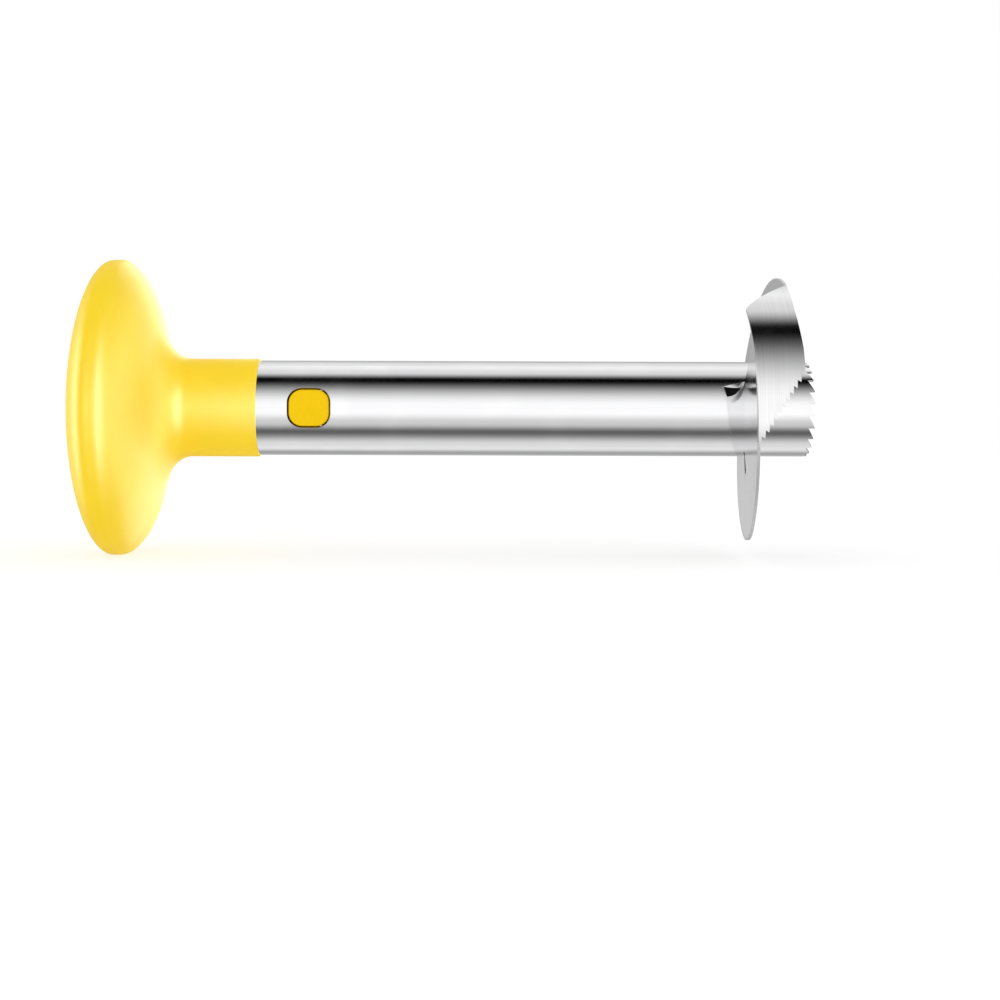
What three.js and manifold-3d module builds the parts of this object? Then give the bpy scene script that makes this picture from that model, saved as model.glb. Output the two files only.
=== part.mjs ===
// A hand slicer that cores, peels and spirals a pineapple in one turn of the wrist.
// It lies on the rim of its knob, with its long axis along +X and the cutting end at +X.
// Lengths are in millimetres. Angles run round the axis as seen from the knob:
// 0 is up (+Z), 90 is the front (-Y), 180 is down and 270 is the back.
// Every x below is counted from the middle of the knob's rim.

import * as THREE from 'three';
import { mergeVertices } from 'three/addons/utils/BufferGeometryUtils.js';
import Module from 'manifold-3d';

const wasm = await Module();
wasm.setup();

// Fits
const clearance = 0.3;         // between pieces that touch, are welded or slide
const overrun = 2;             // how far a cutting shape runs past what it cuts

// Knob and neck
const knobRadius = 48.1;
const knobFrontDepth = 11.8;   // dome, from the rim to the apex
const knobBackDepth = 15.4;    // back face, where it would reach the axis
const rimLand = 3.2;           // straight band round the rim, which the tool lies on
const knobWall = 2.6;
const flareStartRadius = 28;   // the back face leaves its ellipse here and flares into the neck
const neckRadius = 16.2;
const neckStart = 24.6;
const neckLength = 21.8;
const neckBore = 10.5;
const bulkheadWall = 4;        // the web across the neck that the screw pulls on
const socketDepth = 12;        // the hexagonal socket in the neck's end

// End cap in the dome
const capRadius = 20.5;
const capWall = 2;
const capLedge = 1.8;          // width of the ledge that the cap sits on
const capSkirtDepth = 6;
const capSkirtWall = 1.4;

// Tube
const tubeRadius = 15.4;
const tubeWall = 0.8;
const tubeLength = 177.9;      // from the neck to the points of the teeth
const toothDepth = 1.9;
const toothCount = 24;
const toothLeanShare = 0.94;   // how much of a tooth's pitch its long flank takes
const toothPhaseShare = 0.45;  // of a pitch, from the top of the tube back to a tooth's root
const windowLength = 13.9;
const windowHeight = 12.7;
const windowCorner = 4.7;
const windowInset = 16.9;      // from the neck's end of the tube to the middle of the windows
const drainInset = 5.5;        // small pulp hole, which starts this far behind the blade
const drainLength = 6.2;
const drainWidth = 5;
const drainAngle = 65;

// Helical blade
const bladeRadius = 42.65;
const bladeWall = 0.8;
const bladeInset = 23.7;       // from the blade's trailing end to the points of the teeth
const bladeRise = 14.5;
const bladeStartAngle = 60;
const bladeEndAngle = 384.2;
const bladeStartShare = 0.3;   // share of the turn over which the pitch grows
const bladeEndShare = 0.2;     // share of the turn over which it dies out again
const bladeBevel = 3;          // ground cutting edge, along the rim
const bladeEdgeShare = 0.3;    // how much of the wall is left at the cutting edge
const slitAngle = 180;
const slitLength = 5;
const slitWidth = 0.7;

// Peel cutter, a curved band that runs ahead of the blade at its rim
const peelWall = 0.8;
const peelOverhang = 0.2;      // how far it runs past the blade's cutting end
const peelSkew = 0.3;          // how much wider the band is at its toothed edge
const peelTopLeftAngle = 44.5;
const peelTopRightAngle = 24.8;
const peelTopBendShare = 0.85; // below 1, the slanted end rises fastest next to the blade
const peelToothLeftAngle = 104;
const peelToothRightAngle = 72.7;
const peelToothCount = 12;
const peelToothFlatShare = 0.86;
const peelToothHookShare = 0.35;

// Spigot, which plugs the handle into the tube
const spigotLength = 38;
const spigotWall = 1.9;
const spigotFloor = 4;         // solid end next to the neck
const spigotRing = 4;          // closed ring at the deep end, which roots the tongues
const spigotBossRadius = 4.6;
const spigotBossGap = 1.3;     // between the boss and the coil spring
const stubRadius = 12;         // corners of the hexagonal stub

// Fixing screw and its washer
const screwHeadRadius = 4.2;
const screwHeadHeight = 2.6;
const screwRadius = 2.1;
const screwLength = 22;
const screwSlotWidth = 1.1;
const screwSlotLength = 5;
const screwSlotDepth = 1.4;
const washerRadius = 5.6;
const washerWall = 1;

// Snap buttons on their tongues
const buttonGap = 0.45;        // round a button, in its window
const buttonRecess = 0.25;     // how far its face lies below the tube's surface
const buttonDepth = 5.4;       // of the head, at its middle
const tongueInset = 1.6;       // between the tube and the tongue
const tongueWall = 1.6;
const tongueWidth = 9;
const pegRadius = 2;
const pegLength = 2;

// Coil spring between the buttons
const springRadius = 3.2;
const springWire = 0.8;
const springCurls = 7;

// Faceting
const knobSides = 48;
const tubeSides = 72;
const smallSides = 24;
const domeSteps = 8;
const flareSteps = 6;
const innerSteps = 4;
const cornerSteps = 5;
const bladeSteps = 64;
const peelSteps = 16;
const curlSteps = 8;
const wireSides = 5;

// Worked out from the sizes above
const neckEnd = neckStart + neckLength;
const tubeBore = tubeRadius - tubeWall;
const tubeStart = neckEnd + clearance;
const tubeTip = tubeStart + tubeLength;
const toothRoot = tubeTip - toothDepth;
const windowX = tubeStart + windowInset;
const bladeStartX = tubeTip - bladeInset;
const drainStart = bladeStartX - drainInset;
const peelEndX = bladeStartX + bladeRise + peelOverhang;
const spigotRadius = tubeBore - clearance;
const spigotEnd = tubeStart + spigotLength;
const bulkheadStart = neckEnd - socketDepth - bulkheadWall;
const stubLength = socketDepth - 2 * clearance;
const screwHeadX = bulkheadStart - clearance - washerWall - clearance;
const buttonLength = windowLength - 2 * buttonGap;
const buttonHeight = windowHeight - 2 * buttonGap;
const buttonFace = tubeRadius - buttonRecess;
const tongueDistance = tubeBore - tongueInset - tongueWall / 2;
const springReach = springRadius + springWire / 2;
const apexX = -rimLand / 2 - knobFrontDepth;

const yellow = new THREE.MeshStandardMaterial({ color: 0xf7d315, roughness: 0.45, metalness: 0 });
const deepYellow = new THREE.MeshStandardMaterial({ color: 0xf2c714, roughness: 0.5, metalness: 0 });
const whitePlastic = new THREE.MeshStandardMaterial({ color: 0xe9e7de, roughness: 0.55, metalness: 0 });
const polishedSteel = new THREE.MeshStandardMaterial({ color: 0xd0d2d4, roughness: 0.15, metalness: 1 });
const zincSteel = new THREE.MeshStandardMaterial({ color: 0xb4b7ba, roughness: 0.35, metalness: 1 });

// Unit direction at an angle round the axis.
function outward(degrees) {
  const angle = THREE.MathUtils.degToRad(degrees);
  return new THREE.Vector3(0, -Math.sin(angle), Math.cos(angle));
}

// Merges the corners of a closed geometry and turns it the right way out.
function closed(geometry) {
  geometry.deleteAttribute('normal');
  geometry.deleteAttribute('uv');
  const merged = mergeVertices(geometry);
  const places = merged.attributes.position;
  const index = merged.index.array;
  const [a, b, c] = [new THREE.Vector3(), new THREE.Vector3(), new THREE.Vector3()];
  let volume = 0;
  for (let i = 0; i < index.length; i += 3) {
    a.fromBufferAttribute(places, index[i]);
    b.fromBufferAttribute(places, index[i + 1]);
    c.fromBufferAttribute(places, index[i + 2]);
    volume += a.dot(b.cross(c));
  }
  if (volume < 0) {
    for (let i = 0; i < index.length; i += 3) {
      [index[i], index[i + 1]] = [index[i + 1], index[i]];
    }
  }
  return merged;
}

function toManifold(geometry) {
  const merged = closed(geometry);
  return new wasm.Manifold(new wasm.Mesh({
    numProp: 3,
    vertProperties: new Float32Array(merged.attributes.position.array),
    triVerts: new Uint32Array(merged.index.array),
  }));
}

function fromManifold(solid) {
  const mesh = solid.getMesh();
  const geometry = new THREE.BufferGeometry();
  geometry.setAttribute('position', new THREE.BufferAttribute(new Float32Array(mesh.vertProperties), 3));
  geometry.setIndex(new THREE.BufferAttribute(new Uint32Array(mesh.triVerts), 1));
  return geometry;
}

// Joins the added shapes to the base, then cuts the others away.
function carve(base, added, cuts) {
  let solid = toManifold(base);
  for (const geometry of added) {
    solid = solid.add(toManifold(geometry));
  }
  for (const geometry of cuts) {
    solid = solid.subtract(toManifold(geometry));
  }
  return fromManifold(solid);
}

// Spins an outline of [x, radius] points round the long axis, with a flat facing straight down.
function turned(outline, sides) {
  const points = outline.map(([x, radius]) => new THREE.Vector2(radius, x));
  const geometry = new THREE.LatheGeometry(points, sides, Math.PI / sides);
  return closed(geometry.rotateZ(-Math.PI / 2));
}

// A rod or a ring along the long axis; with a bore of zero it is solid.
function rod(startX, endX, radius, bore, sides) {
  return turned([[startX, bore], [startX, radius], [endX, radius], [endX, bore], [startX, bore]], sides);
}

// A solid rod, whose outline starts and ends on the axis.
function fullRod(startX, endX, radius, sides) {
  return turned([[startX, 0], [startX, radius], [endX, radius], [endX, 0]], sides);
}

function block(startX, endX, width, height) {
  const geometry = new THREE.BoxGeometry(endX - startX, width, height);
  return geometry.translate((startX + endX) / 2, 0, 0);
}

// Points on one quarter of the knob's outline, from its rim (turn 0) towards the axis (turn 1).
function lensArc(radius, depth, rimX, side, startTurn, endTurn, steps) {
  const points = [];
  for (let i = 0; i <= steps; i += 1) {
    const angle = THREE.MathUtils.lerp(startTurn, endTurn, i / steps) * Math.PI / 2;
    points.push([rimX + side * depth * Math.sin(angle), radius * Math.cos(angle)]);
  }
  return points;
}

// The turn at which such an arc has come down to a given radius.
function turnAt(radius, lensRadius) {
  return Math.acos(radius / lensRadius) / (Math.PI / 2);
}

// The back face from the rim to the neck: an ellipse that flares into a cylinder.
function backOutline(radius, depth, flareRadius, endRadius, endX, arcSteps, curveSteps) {
  const points = lensArc(radius, depth, rimLand / 2, 1, 0, turnAt(flareRadius, radius), arcSteps);
  const [startX, startRadius] = points[points.length - 1];
  const slope = -(startRadius / radius ** 2) * (depth ** 2 / (startX - rimLand / 2));
  const reach = (startRadius - endRadius) / 2;
  const flare = new THREE.CubicBezierCurve(
    new THREE.Vector2(startX, startRadius),
    new THREE.Vector2(startX - slope * reach, startRadius - reach),
    new THREE.Vector2(endX - (endX - startX) / 2, endRadius),
    new THREE.Vector2(endX, endRadius),
  );
  const curve = flare.getPoints(curveSteps).slice(1);
  return points.concat(curve.map((point) => [point.x, point.y]));
}

// A six-sided rod along the long axis; its radius is to the corners.
function hexagon(startX, endX, radius) {
  return fullRod(startX, endX, radius, 6);
}

// Knob and neck: a hollow shell, open in the dome for the cap and socketed at the neck's end.
function handleBody() {
  const innerRadius = knobRadius - knobWall;
  const seatTurn = turnAt(capRadius + clearance, knobRadius);
  const ledgeRadius = capRadius - capLedge;
  const dome = lensArc(knobRadius, knobFrontDepth, -rimLand / 2, -1, seatTurn, 0, domeSteps);
  const seatX = dome[0][0] + capWall + clearance;
  const ledgeX = seatX + knobWall / 2;
  const innerDome = lensArc(
    innerRadius, knobFrontDepth - knobWall, -rimLand / 2, -1,
    turnAt(ledgeRadius + knobWall * 2, innerRadius), 0, innerSteps,
  );
  const outside = backOutline(
    knobRadius, knobBackDepth, flareStartRadius, neckRadius, neckStart, domeSteps, flareSteps,
  );
  const inside = backOutline(
    innerRadius, knobBackDepth - knobWall, flareStartRadius - knobWall, neckBore, neckStart,
    innerSteps, innerSteps,
  );
  const outline = [
    [seatX, capRadius + clearance],
    ...dome,
    ...outside,
    [neckEnd, neckRadius],
    [neckEnd, screwRadius + clearance],
    [bulkheadStart, screwRadius + clearance],
    [bulkheadStart, neckBore],
    ...inside.reverse(),
    ...innerDome.reverse(),
    [ledgeX, ledgeRadius],
    [seatX, ledgeRadius],
    [seatX, capRadius + clearance],
  ];
  const socket = hexagon(neckEnd - socketDepth, neckEnd + overrun, stubRadius + clearance);
  return carve(turned(outline, knobSides), [], [socket]);
}

// Domed lid over the hole in the knob, on a skirt that snaps under the ledge.
function knobCap() {
  const dome = lensArc(
    knobRadius, knobFrontDepth, -rimLand / 2, -1, 1, turnAt(capRadius, knobRadius), domeSteps,
  );
  const edgeX = dome[dome.length - 1][0];
  const skirtRadius = capRadius - capLedge - clearance;
  const outline = [
    ...dome,
    [edgeX + capWall, capRadius],
    [edgeX + capWall, skirtRadius],
    [edgeX + capSkirtDepth, skirtRadius],
    [edgeX + capSkirtDepth, skirtRadius - capSkirtWall],
    [edgeX + capWall, skirtRadius - capSkirtWall],
    [edgeX + capWall, 0],
  ];
  outline[0] = [apexX, 0];
  return turned(outline, knobSides);
}

// Rounded rectangle in the x and z of the tool, drawn out along y.
function roundedPad(length, height, corner, startY, endY) {
  const shape = new THREE.Shape();
  const [halfLength, halfHeight] = [length / 2, height / 2];
  shape.moveTo(-halfLength + corner, -halfHeight);
  shape.absarc(halfLength - corner, -halfHeight + corner, corner, -Math.PI / 2, 0);
  shape.absarc(halfLength - corner, halfHeight - corner, corner, 0, Math.PI / 2);
  shape.absarc(-halfLength + corner, halfHeight - corner, corner, Math.PI / 2, Math.PI);
  shape.absarc(-halfLength + corner, -halfHeight + corner, corner, Math.PI, Math.PI * 3 / 2);
  const settings = { depth: endY - startY, bevelEnabled: false, curveSegments: cornerSteps };
  const geometry = new THREE.ExtrudeGeometry(shape, settings);
  return geometry.rotateX(Math.PI / 2).translate(windowX, endY, 0);
}

// One notch between two teeth: a long flank that rises to the tip and a short steep one.
function toothGap(step) {
  const pitch = 2 * Math.PI * tubeRadius / toothCount;
  const shape = new THREE.Shape();
  shape.moveTo(toothRoot, 0);
  shape.lineTo(tubeTip + overrun, 0);
  shape.lineTo(tubeTip + overrun, pitch * toothLeanShare);
  shape.lineTo(tubeTip, pitch * toothLeanShare);
  const settings = { depth: tubeWall + 2 * overrun, bevelEnabled: false };
  const geometry = new THREE.ExtrudeGeometry(shape, settings);
  geometry.scale(1, -1, 1).translate(0, 0, tubeBore - overrun);
  return geometry.rotateX((step - toothPhaseShare) * 2 * Math.PI / toothCount);
}

// Small hole through the wall behind the blade: blunt at one end, pointed at the other.
function drainHole() {
  const shape = new THREE.Shape();
  shape.moveTo(drainStart, drainWidth / 2);
  shape.lineTo(drainStart + drainLength, drainWidth / 2);
  shape.quadraticCurveTo(
    drainStart + drainLength / 2, -drainWidth / 2, drainStart + drainLength / 4, -drainWidth / 2,
  );
  const settings = { depth: tubeWall + 2 * overrun, bevelEnabled: false, curveSegments: cornerSteps };
  const geometry = new THREE.ExtrudeGeometry(shape, settings).translate(0, 0, tubeBore - overrun);
  return geometry.rotateX(THREE.MathUtils.degToRad(drainAngle));
}

function corerTube() {
  const wall = rod(tubeStart, tubeTip, tubeRadius, tubeBore, tubeSides);
  const reach = tubeRadius + overrun;
  const cuts = [roundedPad(windowLength, windowHeight, windowCorner, -reach, reach), drainHole()];
  for (let step = 0; step < toothCount; step += 1) {
    cuts.push(toothGap(step));
  }
  return carve(wall, [], cuts);
}

// How far along the tool the blade has climbed at an angle: the pitch is steady but at both ends.
function bladeX(degrees) {
  const turn = (degrees - bladeStartAngle) / (bladeEndAngle - bladeStartAngle);
  const steady = 1 / (1 - (bladeStartShare + bladeEndShare) / 2);
  const start = Math.min(turn, bladeStartShare);
  const end = Math.max(0, turn - (1 - bladeEndShare));
  const middle = turn - start - end;
  const climb = start ** 2 / (2 * bladeStartShare) + middle + end - end ** 2 / (2 * bladeEndShare);
  return bladeStartX + bladeRise * steady * climb;
}

// A unit box whose three directions are laid out by a rule.
function bentBox(steps, across, place) {
  const geometry = new THREE.BoxGeometry(1, 1, 1, steps, 1, across);
  const places = geometry.attributes.position;
  const corner = new THREE.Vector3();
  for (let i = 0; i < places.count; i += 1) {
    corner.fromBufferAttribute(places, i).addScalar(1 / 2);
    const point = place(corner.x, corner.y, corner.z);
    places.setXYZ(i, point.x, point.y, point.z);
  }
  return closed(geometry);
}

// The helical plate. Its rim stops short of the band that covers its first stretch.
function slicingBlade() {
  const innerRadius = tubeRadius + clearance;
  const coveredRadius = bladeRadius - peelWall - clearance;
  const bevelAngle = THREE.MathUtils.radToDeg(bladeBevel / bladeRadius);
  const stepAngle = (bladeEndAngle - bladeStartAngle) / bladeSteps;
  const hookAngle = (peelToothLeftAngle - peelToothRightAngle) * peelToothHookShare / peelToothCount;
  const coverEnd = peelToothLeftAngle + hookAngle + stepAngle;
  const plate = bentBox(bladeSteps, 2, (along, through, across) => {
    const angle = THREE.MathUtils.lerp(bladeStartAngle, bladeEndAngle, along);
    const rim = angle < coverEnd ? coveredRadius : bladeRadius;
    const radius = THREE.MathUtils.lerp(innerRadius, rim, across);
    const left = (bladeEndAngle - angle) / bevelAngle;
    const wall = bladeWall * Math.min(1, THREE.MathUtils.lerp(bladeEdgeShare, 1, left));
    const point = outward(angle).multiplyScalar(radius);
    return point.setX(bladeX(angle) + (through - 1 / 2) * wall);
  });
  const slit = new THREE.BoxGeometry(bladeRise, slitWidth, slitLength + overrun);
  slit.translate(bladeX(slitAngle), 0, innerRadius + (slitLength - overrun) / 2);
  slit.rotateX(THREE.MathUtils.degToRad(slitAngle));
  return carve(plate, [], [slit]);
}

// The band: a patch of a cylinder with a slanted upper end and a stepped, toothed lower end.
function peelCutter() {
  const innerRadius = bladeRadius - peelWall;
  return bentBox(2 * peelToothCount, peelSteps, (along, through, across) => {
    const tooth = Math.floor(along * peelToothCount + 1 / 4);
    const atTip = Math.round(along * 2 * peelToothCount) % 2 === 1;
    const share = (tooth + (atTip ? peelToothFlatShare : 0)) / peelToothCount;
    const stairs = (tooth - (atTip ? peelToothHookShare : 0)) / peelToothCount;
    const low = THREE.MathUtils.lerp(peelToothLeftAngle, peelToothRightAngle, stairs);
    const high = THREE.MathUtils.lerp(peelTopLeftAngle, peelTopRightAngle, share ** peelTopBendShare);
    const angle = THREE.MathUtils.lerp(high, low, across);
    const startX = bladeX(Math.max(bladeStartAngle, angle)) - bladeWall / 2;
    const endX = peelEndX + peelSkew * across;
    const point = outward(angle).multiplyScalar(innerRadius + through * peelWall);
    return point.setX(THREE.MathUtils.lerp(startX, endX, share));
  });
}

// Plug between neck and tube: a slotted sleeve with a hexagonal stub and a screw boss.
function spigot() {
  const floorEnd = tubeStart + spigotFloor;
  const sleeve = fullRod(tubeStart, spigotEnd, spigotRadius, tubeSides);
  const stub = hexagon(neckEnd - stubLength, tubeStart + spigotFloor, stubRadius);
  const bossEnd = windowX - springReach - spigotBossGap;
  const boss = fullRod(floorEnd - clearance, bossEnd, spigotBossRadius, smallSides);
  const hollow = fullRod(floorEnd, spigotEnd + overrun, spigotRadius - spigotWall, smallSides * 2);
  const slotStart = windowX - windowLength / 2;
  const slot = block(slotStart, spigotEnd - spigotRing, 2 * (spigotRadius + overrun), windowHeight);
  const pilot = fullRod(
    neckEnd - stubLength - overrun, bulkheadStart + screwLength + clearance,
    screwRadius + clearance, smallSides,
  );
  const shell = carve(sleeve, [stub], [hollow, slot]);
  return carve(shell, [boss], [pilot]);
}

// Pan-head screw along the axis, with a cross recess.
function spigotScrew() {
  const headEnd = screwHeadX;
  const headStart = headEnd - screwHeadHeight;
  const tip = bulkheadStart + screwLength;
  const outline = [
    [headStart, 0],
    [headStart, screwHeadRadius - screwHeadHeight / 2],
    [headStart + screwHeadHeight / 2, screwHeadRadius],
    [headEnd, screwHeadRadius],
    [headEnd, screwRadius],
    [tip - screwRadius, screwRadius],
    [tip, 0],
  ];
  const recessEnd = headStart + screwSlotDepth;
  const recessStart = headStart - overrun;
  const cross = [
    block(recessStart, recessEnd, screwSlotWidth, screwSlotLength),
    block(recessStart, recessEnd, screwSlotLength, screwSlotWidth),
  ];
  return carve(turned(outline, smallSides), [], cross);
}

function screwWasher() {
  const start = bulkheadStart - clearance - washerWall;
  return rod(start, start + washerWall, washerRadius, screwRadius + clearance, smallSides);
}

// One button at the front: a head with a face as round as the tube, on a flexible tongue.
function snapButton() {
  const headInner = buttonFace - buttonDepth;
  const head = roundedPad(
    buttonLength, buttonHeight, windowCorner - buttonGap, -tubeRadius - overrun, -headInner,
  );
  const tongueStart = windowX;
  const tongueEnd = spigotEnd - spigotRing - clearance;
  const tongue = block(tongueStart, tongueEnd, tongueWall, tongueWidth);
  tongue.translate(0, -tongueDistance, 0);
  const peg = new THREE.CylinderGeometry(pegRadius, pegRadius, pegLength + clearance, smallSides);
  peg.translate(windowX, -headInner + (pegLength - clearance) / 2, 0);
  const barrel = fullRod(windowX - windowLength, tongueEnd + overrun, buttonFace, tubeSides);
  const solid = toManifold(head).add(toManifold(tongue)).intersect(toManifold(barrel));
  return fromManifold(solid.add(toManifold(peg)));
}

// Middle line of the spring, from button to button.
class Coil extends THREE.Curve {
  getPoint(share, target = new THREE.Vector3()) {
    const angle = share * springCurls * 2 * Math.PI;
    const reach = buttonFace - buttonDepth - clearance - springWire / 2;
    return target.set(
      windowX + springRadius * Math.cos(angle),
      THREE.MathUtils.lerp(-reach, reach, share),
      springRadius * Math.sin(angle),
    );
  }
}

// Least distance between the surfaces of one curl and the next, over the points of the coil.
function coilGap(curve, steps) {
  const points = Array.from({ length: steps + 1 }, (unused, i) => curve.getPoint(i / steps));
  let least = Infinity;
  for (let i = 0; i < points.length; i += 1) {
    for (let j = i + curlSteps / 2; j < points.length; j += 1) {
      least = Math.min(least, points[i].distanceTo(points[j]) - springWire);
    }
  }
  return least;
}

function buttonSpring() {
  const curve = new Coil();
  const steps = curlSteps * springCurls;
  console.log(`button_spring: least gap between curls ${coilGap(curve, steps).toFixed(2)} mm`);
  const corners = Array.from({ length: wireSides }, (unused, side) => {
    const angle = side * 2 * Math.PI / wireSides;
    return new THREE.Vector2(Math.cos(angle), Math.sin(angle)).multiplyScalar(springWire / 2);
  });
  return closed(new THREE.ExtrudeGeometry(new THREE.Shape(corners), { steps, extrudePath: curve }));
}

function named(name, geometry, material) {
  const mesh = new THREE.Mesh(geometry, material);
  mesh.name = name;
  return mesh;
}

// The welded cutter: tube, blade and peel band.
const cutter = new THREE.Group();
cutter.add(named('corer_tube', corerTube(), polishedSteel));
cutter.add(named('slicing_blade', slicingBlade(), polishedSteel));
cutter.add(named('peel_cutter', peelCutter(), polishedSteel));

// The handle, with everything that comes out of the tube with it.
const handle = new THREE.Group();
handle.add(named('handle_body', handleBody(), yellow));
handle.add(named('knob_cap', knobCap(), yellow));
handle.add(named('spigot', spigot(), whitePlastic));
handle.add(named('spigot_screw', spigotScrew(), zincSteel));
handle.add(named('screw_washer', screwWasher(), zincSteel));
handle.add(named('button_spring', buttonSpring(), zincSteel));

// The two buttons are alike; the rear one is the front one turned half round the axis.
handle.add(named('button_front', snapButton(), deepYellow));
const rearButton = named('button_rear', snapButton(), deepYellow);
rearButton.rotation.x = Math.PI;
handle.add(rearButton);

// The origin lies on the surface below the middle of the tool's length.
const tool = new THREE.Group();
tool.add(cutter, handle);
tool.position.set(-(tubeTip + apexX) / 2, 0, knobRadius * Math.cos(Math.PI / knobSides));

export default tool;
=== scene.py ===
import math

import bmesh
import bpy
import numpy as np
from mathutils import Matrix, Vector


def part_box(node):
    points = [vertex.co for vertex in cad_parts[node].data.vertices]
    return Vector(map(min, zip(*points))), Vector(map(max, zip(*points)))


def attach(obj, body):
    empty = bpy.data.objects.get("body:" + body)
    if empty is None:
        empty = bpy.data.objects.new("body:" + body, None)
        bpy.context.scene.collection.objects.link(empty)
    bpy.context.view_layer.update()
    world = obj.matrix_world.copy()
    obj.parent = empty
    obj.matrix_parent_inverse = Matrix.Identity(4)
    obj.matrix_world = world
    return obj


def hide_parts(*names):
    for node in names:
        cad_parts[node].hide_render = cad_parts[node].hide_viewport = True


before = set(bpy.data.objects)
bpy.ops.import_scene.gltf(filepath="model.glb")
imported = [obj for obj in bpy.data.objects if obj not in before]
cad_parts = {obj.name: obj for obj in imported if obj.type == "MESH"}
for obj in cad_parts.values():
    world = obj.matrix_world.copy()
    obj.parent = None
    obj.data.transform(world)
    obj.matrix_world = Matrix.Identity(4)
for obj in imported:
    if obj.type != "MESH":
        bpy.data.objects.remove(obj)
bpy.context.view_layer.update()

# A pineapple slicer: yellow knob, polished corer tube, helical blade and a toothed peel band.
# Shapes are worked out in millimetres. x runs along the tool, from the middle of the knob's rim.
# Angles run round the axis in degrees: 0 is up, 90 the front, 180 down and 270 the back.
mm = 0.001
tubeLow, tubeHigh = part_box("corer_tube")
axisHeight = (tubeLow.z + tubeHigh.z) / 2

# What several pieces share
fit = {"clearance": 0.3, "touch": 0.02, "merge": 0.001}
tube = {
    "radius": 15.4, "wall": 0.8, "start": 46.7, "tip": 224.6,
    "toothDepth": 1.9, "teeth": 24, "leanShare": 0.94, "phaseShare": 0.45,
    "windowX": 63.6, "windowLength": 13.9, "windowHeight": 12.7, "windowCorner": 4.7,
    "windowAngles": (90, 270),
    "drainStart": 195.6, "drainLength": 6.1, "drainTop": (62.2, 55.7), "drainBottom": 75,
    "drainNose": 0.9, "drainBelly": 0.8, "lipReach": 5, "lipDrop": 0.9,
}
rimX = tubeLow.x - tube["start"] * mm      # where x is zero, in the frame
sharp = {"usual": 32, "weld": 80, "wire": 60}      # edges that bend more, in degrees, stay sharp
tiny = 1e-9      # stands in for a length of zero, where something is divided by it


# Camera: level, in front of the tool, with the photograph's framing made by its shift
view = {
    "place": (0.0045, -0.536, 0.048), "lens": 59.04, "sensor": 36, "shift": (0.045, -0.0917),
    "roll": -0.18, "nearest": 0.01,
}


def addCamera():
    camera = bpy.data.objects.new("camera", bpy.data.cameras.new("camera"))
    camera.data.sensor_width = view["sensor"]
    camera.data.lens = view["lens"]
    camera.data.shift_x, camera.data.shift_y = view["shift"]
    camera.data.clip_start = view["nearest"]
    camera.location = view["place"]
    camera.rotation_euler = (math.radians(90), math.radians(view["roll"]), 0)
    bpy.context.scene.collection.objects.link(camera)
    bpy.context.scene.camera = camera


addCamera()
print("camera: placed")


# A socket of a node tree. Sums, differences and products of wires add their Math nodes.
class Wire:
    def __init__(self, tree, socket=None):
        self.tree = tree
        self.socket = socket

    # One node of any kind: its settings first, then the values or wires of its sockets.
    def node(self, kind, settings=None, inputs=None, output=0):
        made = self.tree.nodes.new(kind)
        for name, value in (settings or {}).items():
            if name == "stops":
                fillRamp(made.color_ramp, value)
            else:
                setattr(made, name, value)
        for name, value in (inputs or {}).items():
            if isinstance(value, Wire):
                self.tree.links.new(value.socket, made.inputs[name])
            else:
                made.inputs[name].default_value = value
        return Wire(self.tree, made.outputs[output] if len(made.outputs) else None)

    def maths(self, operation, first, second=0.0, third=0.0):
        return self.node("ShaderNodeMath", {"operation": operation}, {0: first, 1: second, 2: third})

    def __add__(self, other):
        return self.maths("ADD", self, other)

    def __radd__(self, other):
        return self.maths("ADD", other, self)

    def __sub__(self, other):
        return self.maths("SUBTRACT", self, other)

    def __rsub__(self, other):
        return self.maths("SUBTRACT", other, self)

    def __mul__(self, other):
        return self.maths("MULTIPLY", self, other)

    def __rmul__(self, other):
        return self.maths("MULTIPLY", other, self)

    def __truediv__(self, other):
        return self.maths("DIVIDE", self, other)

    def __rtruediv__(self, other):
        return self.maths("DIVIDE", other, self)

    def __pow__(self, other):
        return self.maths("POWER", self, other)

    def __rpow__(self, other):
        return self.maths("POWER", other, self)

    # 0 below low, 1 above high and a smooth climb between
    def climb(self, low, high):
        inputs = {"Value": self, "From Min": low, "From Max": high}
        return self.node("ShaderNodeMapRange", {"interpolation_type": "SMOOTHSTEP"}, inputs)

    def blend(self, first, second):
        return self.node("ShaderNodeMix", {"data_type": "RGBA"}, {0: self, 6: first, 7: second}, 2)

    # The x, y and z of a vector
    def parts(self):
        return [self.node("ShaderNodeSeparateXYZ", None, {0: self}, i) for i in range(3)]


# Stops are places from 0 to 1 with a grey level or a colour.
def fillRamp(ramp, stops):
    ramp.interpolation = "EASE"
    while len(ramp.elements) < len(stops):
        ramp.elements.new(1)
    for element, (place, level) in zip(ramp.elements, stops):
        element.position = place
        element.color = (level, level, level, 1) if isinstance(level, float) else (*level, 1)


def newMaterial(name):
    material = bpy.data.materials.new(name)
    material.use_nodes = True
    material.node_tree.nodes.clear()
    return material, Wire(material.node_tree)


# Object coordinates, stretched so that a pattern's grains get the wanted length each way, in mm.
def grainPlace(wire, sizes):
    place = wire.node("ShaderNodeTexCoord", output="Object")
    scale = [1 / (size * mm) for size in sizes]
    return wire.node("ShaderNodeMapping", None, {"Vector": place, "Scale": scale})


def noise(wire, place, detail=2, roughness=0.5):
    inputs = {"Vector": place, "Scale": 1.0, "Detail": detail, "Roughness": roughness}
    return wire.node("ShaderNodeTexNoise", None, inputs)


# A number that makePiece stored at each point of the mesh
def stored(wire, name):
    return wire.node("ShaderNodeAttribute", {"attribute_name": name}, None, "Fac")


# From a look's deep colour, where the mask is 0, to its pale one
def shades(mask, look):
    return mask.blend((*look["deep"], 1), (*look["pale"], 1))


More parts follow.
